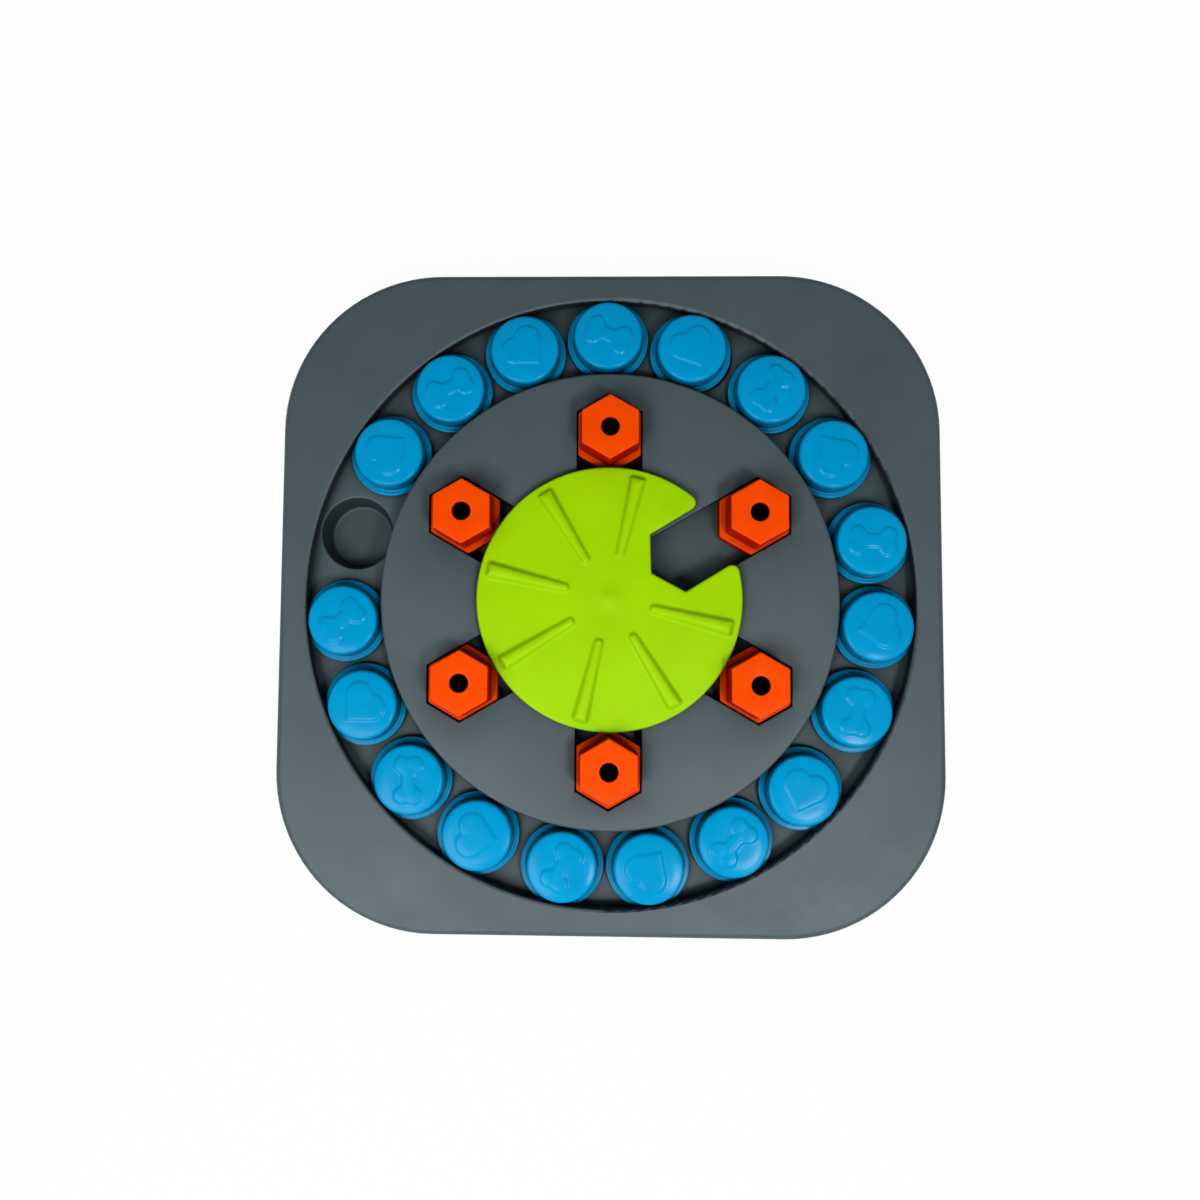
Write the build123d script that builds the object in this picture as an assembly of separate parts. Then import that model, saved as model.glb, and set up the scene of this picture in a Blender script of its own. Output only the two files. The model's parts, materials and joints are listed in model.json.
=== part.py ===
from build123d import *
import math
import os

# Dog puzzle feeder: a square board with a ring of sliding treat covers, six hexagonal
# sliding blocks and a notched spinner. Millimetres, +Z up, origin on the resting plane
# under the middle of the board. The empty treat cup is at upper left, seen from above.

os.makedirs("parts", exist_ok=True)

# ---------------------------------------------------------------- driving sizes
# heights, from the resting plane up
foot_height = 1.5          # rubber foot below the bottom cover
cover_thickness = 2.5      # bottom cover plate
cup_floor = 1.8            # bottom of each treat cup
cup_depth = 11.2           # treat cup, from the channel floor down
cup_wall = 1.8
floor_thickness = 2.2      # base tray plate
slide_height = 3.8         # room for the flanges, from the channel floor to the lips
lip_thickness = 5.2        # frame lip and platform plate

# spinner
spinner_radius = 58.4
spinner_lift = 1.0         # air between the platform and the spinner rim
spinner_rim = 3.2          # rim height
spinner_crown = 2.2        # rise from the rim to the middle
spinner_skin = 2.6         # moulded wall
spinner_turn = 1.7         # how far the notch stands past the first block's slot, degrees
dome_radius = 9.0          # button over the pivot
dome_rise = 1.7
rib_count = 8              # rib places; the notch takes the first one
rib_inner_radius = 20.5
rib_outer_radius = 50.3
rib_inner_width = 2.6
rib_outer_width = 6.4
rib_rise = 2.5             # above the rim's top edge
rib_edge_radius = 1.0
notch_end = 21.6           # from the pivot to the inner corner of the notch
notch_stop_gap = 1.2       # between that corner and the block at the end of its travel
notch_side_clearance = 2.25
notch_tip_radius = 3.4
hub_radius = 9.0
hub_collar = 4.5           # collar round the hub that bears on the platform
pivot_clearance = 0.1

# hexagonal blocks
block_count = 6
block_across = 24.9        # across the flats, upper part
block_step = 1.7           # how far the lower part stands out from the upper flats
block_proud = 13.5         # above the platform
block_step_drop = 1.4      # the step lies this far below the platform top
block_wall = 2.2
block_hole = 8.6
block_edge_radius = 0.8
block_step_radius = 0.5
block_foot_stretch = 1.5   # the foot's ends stand out this much more than a hexagon's
block_tab_width = 2.6      # tongue on each side that runs under the platform
block_tab_length = 12.0
block_rim_gap = 1.55       # from the spinner rim to the nearest corner of a block
block_cup_diameter = 23.0

# ring of sliders
cup_count = 19             # one more than the sliders
empty_cup_angle = 165.3    # degrees from +X, seen from above
channel_width = 33.0       # between the platform edge and the frame lip
slider_spacing_gap = 2.1   # between neighbouring flanges at even spacing
flange_thickness = 3.2
flange_edge_radius = 0.8
cap_clearance = 0.6        # beside the slider cap, each side
cap_height = 8.5           # above the flange
cap_draft = 0.45           # the cap is narrower at the top by this much all round
cap_edge_radius = 2.0
slider_wall = 1.8
cup_cover = 2.0            # how far a flange reaches past the cup mouth
cup_taper = 2.6            # the cup bottom is smaller by this much all round
cup_mouth_radius = 1.0
relief_rise = 0.8          # bone or heart on the cap
relief_edge_radius = 0.4
bone_length = 20.5
bone_shaft = 5.6
bone_knob = 3.6            # radius of the four knobs
bone_knob_offset = 2.6     # from the bone's middle line to the middle of a knob
heart_lobe = 5.6           # radius of the heart's two lobes
heart_shift = 1.4          # moves the heart along so that it looks centred on the cap

# board
platform_edge = 9.1        # from a slot's outer corner to the platform's edge
platform_edge_radius = 1.4
border_width = 12.2        # from the frame lip to the straight side of the board
corner_radius = 70.8
board_edge_radius = 3.0
lip_edge_radius = 1.4
frame_wall = 2.5
tray_rim = 2.5             # guide wall round the channel
locator_wall = 2.0         # ring under the frame that centres the base tray

# fasteners and feet
screw_radius = 1.5
screw_head_radius = 2.8
screw_head_height = 2.0
screw_head_edge = 0.7      # rounding of the pan head
screw_point = 0.6          # bevel at the tip
drive_length = 3.2         # cross recess in the head
drive_width = 0.7
drive_depth = 1.1
screw_bite = 9.0           # thread length in the frame bosses
platform_screw_bite = 3.6
pivot_screw_bite = 9.0
blind_hole_spare = 0.4     # a screw hole is this much deeper than its screw
boss_radius = 4.5
head_sink = 0.4            # the cover's screw heads sit this far inside its face
screw_pad_height = 2.6     # cover thickness added round each screw
screw_pad_radius = 5.3
foot_radius = 9.0
foot_bevel = 0.6
foot_seat = 0.9            # foot recess in the cover
foot_to_screw = 20.0       # sideways from a foot to the two screws beside it
washer_overhang = 4.0      # washer past the hub
washer_thickness = 1.5

# clearances
sit = 0.3                  # under a moving flange
slide_side = 0.4           # beside a moving flange, tab or block
fit = 0.2                  # between fixed mouldings
face_gap = 0.2             # running gap at the spinner's bearing faces
cut_margin = 1.0           # cutters run this far past the faces they cut

# ---------------------------------------------------------------- worked out from these
cover_top = foot_height + cover_thickness
channel_floor = cover_top + cup_floor + cup_depth
plate_bottom = channel_floor - floor_thickness
lip_bottom = channel_floor + slide_height
board_top = lip_bottom + lip_thickness

rim_bottom = board_top + spinner_lift
rim_top = rim_bottom + spinner_rim
crown_top = rim_top + spinner_crown
skin_bottom = rim_top - spinner_skin / 2
rib_top = rim_top + rib_rise
dome_top = crown_top + dome_rise
collar_radius = hub_radius + hub_collar
hub_bottom = plate_bottom - face_gap

hex_corner = 1 / math.cos(math.radians(30))
block_corner = block_across / 2 * hex_corner
step_across = block_across + 2 * block_step
slot_width = step_across + 2 * slide_side
slot_corner = slot_width / 2 * hex_corner
groove_width = step_across + 2 * block_tab_width + 2 * slide_side

block_radius = spinner_radius + block_rim_gap + block_corner
notch_width = block_across + 2 * notch_side_clearance
block_travel = block_radius - block_corner - notch_end - notch_stop_gap
block_slack = block_rim_gap - slide_side

lane_end = block_radius + block_foot_stretch
platform_radius = lane_end + slot_corner + platform_edge
ring_radius = platform_radius + channel_width / 2
opening_radius = platform_radius + channel_width
board_half = opening_radius + border_width

cup_pitch = 360 / cup_count
flange_radius = ring_radius * math.sin(math.radians(cup_pitch / 2)) - slider_spacing_gap / 2
cap_radius = channel_width / 2 - cap_clearance
cup_radius = flange_radius - cup_cover
guide_outer = ring_radius + flange_radius + slide_side
guide_inner = ring_radius - flange_radius - slide_side
tray_radius = guide_outer + tray_rim
locator_outer = tray_radius + fit + locator_wall

corner_reach = (board_half - corner_radius) * math.sqrt(2) + corner_radius
foot_reach = (opening_radius + corner_reach) / 2
boss_bottom = cover_top + screw_pad_height
head_bottom = foot_height + head_sink

# degrees by which each slider stands past its own cup, going round from the empty cup
slider_drift = (
    0.2, -0.2, 0.4, 0.9, 1.4, 1.0, 0.5, -0.9, -0.3,
    0.0, -1.2, -0.6, -0.4, 0.2, 0.0, 0.3, 0.4, 0.6,
)
# which way each relief points on its slider, degrees from +X
relief_turn = (
    40, 28, -45, -22, -65, 55, 125, -3, 190,
    80, 250, 50, 55, 60, -10, 89, 225, 40,
)


# ---------------------------------------------------------------- helpers
def disc(radius, bottom, top):
    """Upright cylinder about the Z axis between two heights."""
    return Pos(0, 0, bottom) * Cylinder(radius, top - bottom, align=(Align.CENTER, Align.CENTER, Align.MIN))


def ring(outer, inner, bottom, top):
    return disc(outer, bottom, top) - disc(inner, bottom, top)


def prism(sketch, bottom, top):
    """Flat sketch extruded upwards between two heights."""
    return extrude(Pos(0, 0, bottom) * sketch, top - bottom, dir=(0, 0, 1))


def hexagon(across):
    """Hexagon with a corner on the X axis."""
    corner = across / 2 * hex_corner
    return Polygon(*[
        (corner * math.cos(math.radians(60 * i)), corner * math.sin(math.radians(60 * i)))
        for i in range(6)
    ], align=None)


def lane(width, first, last):
    """Straight lane along X, as wide as a hexagon, with a hexagon's corner at each end."""
    middle = Pos((first + last) / 2, 0) * Rectangle(last - first, width)
    return middle + Pos(first, 0) * hexagon(width) + Pos(last, 0) * hexagon(width)


def ball_below(radius, rise, top):
    """Ball whose topmost cap, as wide and as high as given, ends at the given height."""
    size = (radius**2 + rise**2) / (2 * rise)
    return Pos(0, 0, top - size) * Sphere(size)


def top_rim(solid):
    """Edges that lie in the highest plane of a solid."""
    return solid.edges().group_by(Axis.Z)[-1]


def rounded_square(half, radius):
    return RectangleRounded(2 * half, 2 * half, radius)


def pan_screw(bottom, tip):
    """Screw driven upwards: pan head below, plain shank, short point."""
    neck = bottom + screw_head_height
    head = disc(screw_head_radius, bottom, neck)
    head = fillet(head.edges().group_by(Axis.Z)[0], screw_head_edge)
    cross = Rectangle(drive_length, drive_width) + Rectangle(drive_width, drive_length)
    shank = disc(screw_radius, neck, tip)
    shank = chamfer(top_rim(shank), screw_point)
    return head + shank - prism(cross, bottom, bottom + drive_depth)


def cup_outside(mouth_radius):
    """Outside of a tapered treat cup, from the bottom cover up to the tray plate."""
    return Pos(0, 0, cover_top) * Cone(
        mouth_radius - cup_taper + cup_wall,
        mouth_radius + cup_wall,
        plate_bottom - cover_top,
        align=(Align.CENTER, Align.CENTER, Align.MIN),
    )


def cup_inside(mouth_radius):
    """Room inside a tapered treat cup with a rounded mouth, as the solid to cut away."""
    low = channel_floor - cup_depth
    above = channel_floor + cut_margin
    wide = mouth_radius + cup_mouth_radius + cut_margin
    outline = Polygon(
        (0, low),
        (mouth_radius - cup_taper, low),
        (mouth_radius, channel_floor),
        (wide, channel_floor),
        (wide, above),
        (0, above),
        align=None,
    )
    mouth = outline.vertices().sort_by_distance((mouth_radius, channel_floor))[0]
    outline = fillet(mouth, cup_mouth_radius)
    return revolve(Plane.XZ * outline, Axis.Z)


def corner_places(sideways):
    """Four places in the board's corners, moved sideways along the edge of the corner."""
    return [Rot(0, 0, 45 + 90 * i) * Pos(foot_reach, sideways, 0) for i in range(4)]


foot_places = corner_places(0)
screw_places = corner_places(foot_to_screw) + corner_places(-foot_to_screw)
block_angles = [30 - 360 / block_count * i for i in range(block_count)]
block_places = [Rot(0, 0, angle) * Pos(block_radius, 0, 0) for angle in block_angles]
platform_screw_places = [Rot(0, 0, -180 / block_count) * place for place in block_places]


# ---------------------------------------------------------------- top frame
def top_frame():
    """Square shell with the big round opening, its lip, and the screw bosses."""
    outside = prism(rounded_square(board_half, corner_radius), foot_height, board_top)
    outside = fillet(top_rim(outside), board_edge_radius)
    inside = prism(
        rounded_square(board_half - frame_wall, corner_radius - frame_wall),
        foot_height,
        board_top - frame_wall,
    )
    shell = outside - inside
    shell += disc(locator_outer, lip_bottom, board_top)
    shell -= disc(opening_radius, foot_height, board_top)
    mouth = top_rim(shell).filter_by(GeomType.CIRCLE).sort_by(SortBy.RADIUS)[-1]
    shell = fillet(mouth, lip_edge_radius)
    shell += ring(locator_outer, tray_radius + fit, plate_bottom, lip_bottom)
    for place in screw_places:
        shell += place * disc(boss_radius, boss_bottom, board_top - frame_wall)
    for place in screw_places:
        shell -= place * disc(screw_radius, boss_bottom, boss_bottom + screw_bite + blind_hole_spare)
    return shell


# ---------------------------------------------------------------- base tray
def ring_tray():
    """Ring floor of the tray with its guide wall: equal sectors, each with one treat cup."""
    floor = ring(tray_radius, guide_inner, plate_bottom, channel_floor)
    floor += ring(tray_radius, guide_outer, channel_floor, lip_bottom)
    reach = 2 * tray_radius
    half = reach * math.tan(math.radians(cup_pitch / 2))
    wedge = Polygon((0, 0), (reach, -half), (reach, half), align=None)
    sector = floor & prism(wedge, plate_bottom, lip_bottom)
    sector += Pos(ring_radius, 0, 0) * cup_outside(cup_radius)
    sector -= Pos(ring_radius, 0, 0) * cup_inside(cup_radius)
    return Compound([Rot(0, 0, empty_cup_angle + cup_pitch * i) * sector for i in range(cup_count)])


def centre_tray():
    """Middle of the tray: lane floors with a treat cup under each block, and the pads
    between the lanes that carry the platform."""
    tray = disc(guide_inner, plate_bottom, channel_floor)
    pads = disc(guide_inner, channel_floor, lip_bottom)
    groove = lane(slot_width, 0, lane_end)
    groove += Rectangle(
        block_radius + block_tab_length / 2 + slide_side,
        groove_width,
        align=(Align.MIN, Align.CENTER),
    )
    for angle in block_angles:
        pads -= Rot(0, 0, angle) * prism(groove, channel_floor, lip_bottom)
    tray += pads
    tray += disc(collar_radius, channel_floor, lip_bottom)
    for place in block_places:
        tray += place * cup_outside(block_cup_diameter / 2)
    for place in block_places:
        tray -= place * cup_inside(block_cup_diameter / 2)
    tray -= disc(hub_radius + pivot_clearance, plate_bottom, lip_bottom)
    for place in platform_screw_places:
        tray -= place * disc(screw_radius + fit, plate_bottom, lip_bottom)
    return tray


# ---------------------------------------------------------------- centre platform
def centre_platform():
    """Round plate with six lanes for the blocks and the spinner's bearing bore."""
    plate = disc(platform_radius, lip_bottom, board_top)
    plate = fillet(top_rim(plate), platform_edge_radius)
    for angle in block_angles:
        slot = lane(slot_width, block_radius - block_travel - block_foot_stretch, lane_end)
        plate -= Rot(0, 0, angle) * prism(slot, lip_bottom, board_top)
    plate -= disc(hub_radius + pivot_clearance, lip_bottom, board_top)
    for place in platform_screw_places:
        plate -= place * disc(screw_radius, lip_bottom, lip_bottom + platform_screw_bite + blind_hole_spare)
    return plate


# ---------------------------------------------------------------- bottom cover and feet
def bottom_cover():
    """Flat closing plate inside the frame's skirt, with screw pads and foot seats."""
    half = board_half - frame_wall - fit
    corner = corner_radius - frame_wall - fit
    plate = prism(rounded_square(half, corner), foot_height, cover_top)
    for place in screw_places:
        plate += place * disc(screw_pad_radius, cover_top, boss_bottom)
    for place in screw_places:
        plate -= place * disc(screw_radius + fit, foot_height, boss_bottom)
        plate -= place * disc(screw_head_radius + fit, foot_height, head_bottom + screw_head_height)
    for place in foot_places:
        plate -= place * disc(foot_radius + fit, foot_height, foot_height + foot_seat)
    return plate


def rubber_foot():
    foot = disc(foot_radius, 0, foot_height + foot_seat)
    return chamfer(foot.edges().group_by(Axis.Z)[0], foot_bevel)


# ---------------------------------------------------------------- spinner
def spinner_disc():
    """Crowned disc, hollow below, with its hub and the collar that bears on the platform."""
    inner_rim = spinner_radius - spinner_skin
    with BuildSketch(Plane.XZ) as profile:
        with BuildLine():
            Polyline(
                (0, crown_top),
                (0, hub_bottom),
                (hub_radius, hub_bottom),
                (hub_radius, board_top + face_gap),
                (collar_radius, board_top + face_gap),
                (collar_radius, skin_bottom),
                (inner_rim, skin_bottom),
                (inner_rim, rim_bottom),
                (spinner_radius, rim_bottom),
                (spinner_radius, rim_top),
            )
            TangentArc((0, crown_top), (spinner_radius, rim_top), tangent=(1, 0))
        make_face()
    button = disc(2 * dome_radius, rim_top, dome_top) & ball_below(dome_radius, dome_rise, dome_top)
    return revolve(profile.sketch, Axis.Z) + button


def spinner_rib():
    """Tapered rib along X, wider towards the rim."""
    ends = Pos(rib_inner_radius, 0) * Circle(rib_inner_width / 2)
    ends += Pos(rib_outer_radius, 0) * Circle(rib_outer_width / 2)
    bar = prism(make_hull(ends.edges()), skin_bottom, rib_top)
    return fillet(top_rim(bar), rib_edge_radius)


def spinner():
    """Crowned disc with seven tapered ribs and a notch that lets one block in."""
    half = notch_width / 2
    notch_shoulder = notch_end + half * math.tan(math.radians(30))
    past_rim = spinner_radius + cut_margin
    notch = Polygon(
        (notch_end, 0),
        (notch_shoulder, half),
        (past_rim, half),
        (past_rim, -half),
        (notch_shoulder, -half),
        align=None,
    )
    outline = Circle(spinner_radius) - notch
    tips = outline.vertices().sort_by(lambda v: -math.hypot(v.X, v.Y))[:2]
    outline = fillet(tips, notch_tip_radius)

    body = spinner_disc()
    notch_wall = offset(notch, spinner_skin) & Circle(spinner_radius)
    body += prism(notch_wall, rim_bottom, (skin_bottom + rim_top) / 2)
    for i in range(1, rib_count):
        body += Rot(0, 0, i * 360 / rib_count) * spinner_rib()
    body &= prism(outline, hub_bottom, dome_top + cut_margin)
    body -= disc(screw_radius, hub_bottom, hub_bottom + pivot_screw_bite + blind_hole_spare)
    return Rot(0, 0, block_angles[0] + spinner_turn) * body


def pivot_washer():
    """Flat washer that holds the hub down from under the base tray."""
    return ring(hub_radius + washer_overhang, screw_radius + fit, hub_bottom - washer_thickness, hub_bottom)


def pivot_screw():
    return pan_screw(hub_bottom - washer_thickness - screw_head_height, hub_bottom + pivot_screw_bite)


# ---------------------------------------------------------------- hexagonal block
def hex_block():
    """Hollow block with a wider foot that runs in the lane and two side tongues that run
    under the platform. It has a hole in its top."""
    bottom = channel_floor + sit
    tab_top = bottom + flange_thickness
    step_top = board_top - block_step_drop
    top = board_top + block_proud
    upper = prism(hexagon(block_across), bottom, top)
    upper = fillet(top_rim(upper), block_edge_radius)
    foot = prism(lane(step_across, -block_foot_stretch, block_foot_stretch), bottom, step_top)
    foot = fillet(top_rim(foot), block_step_radius)
    tabs = prism(Rectangle(block_tab_length, step_across + 2 * block_tab_width), bottom, tab_top)
    block = upper + foot + tabs
    block -= prism(hexagon(block_across - 2 * block_wall), bottom, top - block_wall)
    block -= disc(block_hole / 2, bottom, top)
    return block


# ---------------------------------------------------------------- ring slider
def bone():
    """Plain bone outline along X."""
    reach = bone_length / 2 - bone_knob
    shape = Rectangle(2 * reach, bone_shaft)
    for x in (-reach, reach):
        for y in (-bone_knob_offset, bone_knob_offset):
            shape += Pos(x, y) * Circle(bone_knob)
    return shape


def heart():
    """Plain heart outline with its point along X."""
    side = 2 * heart_lobe
    middle = side / math.sqrt(8)
    shape = Rot(0, 0, 45) * Rectangle(side, side)
    for y in (-middle, middle):
        shape += Pos(-middle, y) * Circle(heart_lobe)
    return Pos(heart_shift, 0) * shape


def slider(outline, turn):
    """Hollow cap on a round flange, with a raised outline on its top."""
    bottom = channel_floor + sit
    flange_top = bottom + flange_thickness
    cap_top = flange_top + cap_height
    flange = disc(flange_radius, bottom, flange_top)
    flange = fillet(top_rim(flange), flange_edge_radius)
    cap = Pos(0, 0, flange_top) * Cone(
        cap_radius,
        cap_radius - cap_draft,
        cap_height,
        align=(Align.CENTER, Align.CENTER, Align.MIN),
    )
    cap = fillet(top_rim(cap), cap_edge_radius)
    relief = prism(outline, cap_top, cap_top + relief_rise)
    relief = fillet(top_rim(relief), relief_edge_radius)
    hollow = disc(cap_radius - cap_draft - slider_wall, bottom, cap_top - slider_wall)
    return flange + cap + Rot(0, 0, turn) * relief - hollow


# ---------------------------------------------------------------- write every piece
def slider_angle(i):
    return empty_cup_angle - cup_pitch * (i + 1) + slider_drift[i]


def main():
    pieces = {
        "top_frame": top_frame(),
        "ring_tray": ring_tray(),
        "centre_tray": centre_tray(),
        "centre_platform": centre_platform(),
        "bottom_cover": bottom_cover(),
        "spinner": spinner(),
        "spinner_washer": pivot_washer(),
        "spinner_screw": pivot_screw(),
        "rubber_feet": Compound([place * rubber_foot() for place in foot_places]),
    }
    cover_screw = pan_screw(head_bottom, boss_bottom + screw_bite)
    pieces["cover_screws"] = Compound([place * cover_screw for place in screw_places])
    platform_screw = pan_screw(plate_bottom - screw_head_height, lip_bottom + platform_screw_bite)
    pieces["platform_screws"] = Compound([place * platform_screw for place in platform_screw_places])

    block = hex_block()
    for i, place in enumerate(block_places):
        pieces[f"hex_block_{i + 1}"] = place * block

    outlines = {"heart": heart(), "bone": bone()}
    for i in range(cup_count - 1):
        kind = "heart" if i % 2 == 0 else "bone"
        angle = math.radians(slider_angle(i))
        place = Pos(ring_radius * math.cos(angle), ring_radius * math.sin(angle), 0)
        pieces[f"slider_{i + 1:02d}_{kind}"] = place * slider(outlines[kind], relief_turn[i])

    for name, piece in pieces.items():
        export_step(piece, f"parts/{name}.step")

    print(f"board {2 * board_half:.1f} square, top at {board_top:.1f}")
    print(f"ring radius {ring_radius:.2f}, flange {2 * flange_radius:.2f}, cap {2 * cap_radius:.2f}")
    print(f"platform radius {platform_radius:.2f}, opening radius {opening_radius:.2f}")
    print(f"block at {block_radius:.2f}, travel {block_travel:.2f}, slack {block_slack:.2f}")
    for i in range(cup_count - 1):
        print(f"slider {i + 1} at {slider_angle(i):.2f}")


main()
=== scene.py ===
import json
import math

import bmesh
import bpy
import numpy as np
from mathutils import Matrix, Vector
from mathutils.geometry import delaunay_2d_cdt

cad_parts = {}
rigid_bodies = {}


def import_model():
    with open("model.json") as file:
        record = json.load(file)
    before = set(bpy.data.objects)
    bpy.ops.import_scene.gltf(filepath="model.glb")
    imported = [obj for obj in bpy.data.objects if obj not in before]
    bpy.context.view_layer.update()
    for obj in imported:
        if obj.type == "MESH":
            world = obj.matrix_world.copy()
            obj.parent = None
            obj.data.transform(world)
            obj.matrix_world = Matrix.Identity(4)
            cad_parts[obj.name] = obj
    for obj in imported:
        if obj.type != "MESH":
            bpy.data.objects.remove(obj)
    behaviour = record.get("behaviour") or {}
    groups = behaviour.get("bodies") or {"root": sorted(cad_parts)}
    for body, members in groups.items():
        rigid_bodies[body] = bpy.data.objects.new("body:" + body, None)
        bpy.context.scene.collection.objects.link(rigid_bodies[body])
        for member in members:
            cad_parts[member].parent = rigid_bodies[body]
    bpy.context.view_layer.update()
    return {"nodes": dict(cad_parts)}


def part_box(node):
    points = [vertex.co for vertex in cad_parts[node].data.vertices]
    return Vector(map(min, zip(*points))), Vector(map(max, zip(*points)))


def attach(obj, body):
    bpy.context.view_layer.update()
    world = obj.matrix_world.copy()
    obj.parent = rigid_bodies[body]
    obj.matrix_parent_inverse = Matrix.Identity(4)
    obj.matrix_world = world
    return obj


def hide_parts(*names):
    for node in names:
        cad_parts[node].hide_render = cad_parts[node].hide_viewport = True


# Dog puzzle feeder, dressed for a studio shot from above.
# Sizes are in millimetres, and a mesh is scaled to metres when it is made.

for thing in list(bpy.data.objects):
    bpy.data.objects.remove(thing, do_unlink=True)
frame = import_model()
cadNodes = frame["nodes"]
mm = 0.001
print("frame loaded,", len(cadNodes), "nodes")


def toLinear(hexColour):
    parts = [int(hexColour[i:i + 2], 16) / 255 for i in (1, 3, 5)]
    return [c / 12.92 if c <= 0.04045 else ((c + 0.055) / 1.055) ** 2.4 for c in parts] + [1.0]


def addNode(tree, kind, settings=None, values=None, links=None):
    node = tree.nodes.new(kind)
    for name, value in (settings or {}).items():
        setattr(node, name, value)
    for name, value in (values or {}).items():
        node.inputs[name].default_value = value
    for name, source in (links or {}).items():
        tree.links.new(source, node.inputs[name])
    return node


def newMaterial(name):
    material = bpy.data.materials.new(name)
    material.use_nodes = True
    material.node_tree.nodes.clear()
    return material, material.node_tree


meshing = {
    "weld": 0.003,            # points nearer than this become one
    "crease": 38,             # degrees, from here on an edge is drawn sharp
    "cornerSteps": 6,
    "sheetMerge": 1e-7,
}


def newShell():
    return {"points": [], "faces": []}


def addLoft(shell, rings):
    # joins rings of equal length with quads, and a ring of one point closes the end
    starts = []
    for ring in rings:
        starts.append(len(shell["points"]))
        shell["points"] += ring
    for a, b, ringA, ringB in zip(starts, starts[1:], rings, rings[1:]):
        count = max(len(ringA), len(ringB))
        for i in range(count):
            j = (i + 1) % count
            if len(ringA) == 1:
                shell["faces"].append((a, b + j, b + i))
            elif len(ringB) == 1:
                shell["faces"].append((a + i, a + j, b))
            else:
                shell["faces"].append((a + i, a + j, b + j, b + i))


def addSheet(shell, loops, height, inside, spare=()):
    # fills between closed loops with triangles; spare points refine it, height shapes it
    spots, edges = [], []
    for loop in loops:
        first = len(spots)
        spots += [Vector(p) for p in loop]
        edges += [(first + i, first + (i + 1) % len(loop)) for i in range(len(loop))]
    spots += [Vector(p) for p in spare]
    verts, _, triangles, *_ = delaunay_2d_cdt(spots, edges, [], 0, meshing["sheetMerge"])
    flat = np.array([tuple(v) for v in verts])
    triangles = np.array(triangles)
    middles = flat[triangles].mean(axis=1)
    wanted = triangles[inside(middles[:, 0], middles[:, 1])]
    first = len(shell["points"])
    tall = height(flat[:, 0], flat[:, 1])
    shell["points"] += [(float(x), float(y), float(z)) for (x, y), z in zip(flat, tall)]
    shell["faces"] += [tuple(int(first + k) for k in triangle) for triangle in wanted]


def finishPiece(name, shell, material, place=None):
    mesh = bpy.data.meshes.new(name)
    mesh.from_pydata(shell["points"], [], shell["faces"])
    work = bmesh.new()
    work.from_mesh(mesh)
    bmesh.ops.remove_doubles(work, verts=work.verts, dist=meshing["weld"])
    loose = [v for v in work.verts if not v.link_faces]
    bmesh.ops.delete(work, geom=loose, context="VERTS")
    bmesh.ops.recalc_face_normals(work, faces=work.faces)
    work.to_mesh(mesh)
    work.free()
    mesh.transform(Matrix.Scale(mm, 4) @ (place or Matrix.Identity(4)))
    mesh.shade_smooth()
    mesh.set_sharp_from_angle(angle=math.radians(meshing["crease"]))
    mesh.materials.append(material)
    piece = bpy.data.objects.new(name, mesh)
    bpy.context.scene.collection.objects.link(piece)
    return piece


def arc(middle, radius, fromDeg, toDeg, steps):
    turns = [math.radians(fromDeg + (toDeg - fromDeg) * i / steps) for i in range(steps + 1)]
    return [(middle[0] + radius * math.cos(t), middle[1] + radius * math.sin(t)) for t in turns]


def circle(radius, count, middle=(0, 0)):
    return arc(middle, radius, 0, 360, count)[:-1]


def turned(profile, count, middle=(0, 0)):
    # rings for addLoft from a profile of (radius, height) points
    rings = []
    for radius, z in profile:
        if radius == 0:
            rings.append([(middle[0], middle[1], z)])
        else:
            rings.append([(x, y, z) for x, y in circle(radius, count, middle)])
    return rings


def lifted(loop, z):
    return [(x, y, z) for x, y in loop]


def inwards(loop, distance):
    # moves an anticlockwise loop inwards; use a negative distance to grow it
    moved = []
    for i, (x, y) in enumerate(loop):
        (ax, ay), (bx, by) = loop[i - 1], loop[(i + 1) % len(loop)]
        length = math.hypot(bx - ax, by - ay)
        moved.append((x - (by - ay) / length * distance, y + (bx - ax) / length * distance))
    return moved


def roundedLoop(corners, radii, spacing):
    # polygon with each corner rounded by its own radius, and points along the straight runs
    points = []
    for i, (corner, radius) in enumerate(zip(corners, radii)):
        before = Vector(corners[i - 1]) - Vector(corner)
        after = Vector(corners[(i + 1) % len(corners)]) - Vector(corner)
        half = before.angle(after) / 2
        reach = radius / math.tan(half)
        start = Vector(corner) + before.normalized() * reach
        end = Vector(corner) + after.normalized() * reach
        inward = (before.normalized() + after.normalized()).normalized()
        middle = Vector(corner) + inward * radius / math.sin(half)
        steps = meshing["cornerSteps"]
        a = math.atan2(*(start - middle).yx)
        turn = math.remainder(math.atan2(*(end - middle).yx) - a, 2 * math.pi)
        for k in range(steps + 1):
            t = a + turn * k / steps
            points.append((middle.x + radius * math.cos(t), middle.y + radius * math.sin(t)))
    full = []
    for i, point in enumerate(points):
        after = points[(i + 1) % len(points)]
        pieces = max(1, round(math.dist(point, after) / spacing))
        full += [
            (point[0] + (after[0] - point[0]) * k / pieces, point[1] + (after[1] - point[1]) * k / pieces)
            for k in range(pieces)
        ]
    return full


def turnedLoop(loop, degrees):
    c, s = math.cos(math.radians(degrees)), math.sin(math.radians(degrees))
    return [(x * c - y * s, x * s + y * c) for x, y in loop]


def insideLoop(x, y, loop):
    found = np.zeros(len(x), bool)
    for (ax, ay), (bx, by) in zip(loop, loop[1:] + loop[:1]):
        if ay != by:
            crosses = ((ay > y) != (by > y)) & (x < (bx - ax) * (y - ay) / (by - ay) + ax)
            found ^= crosses
    return found


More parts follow.
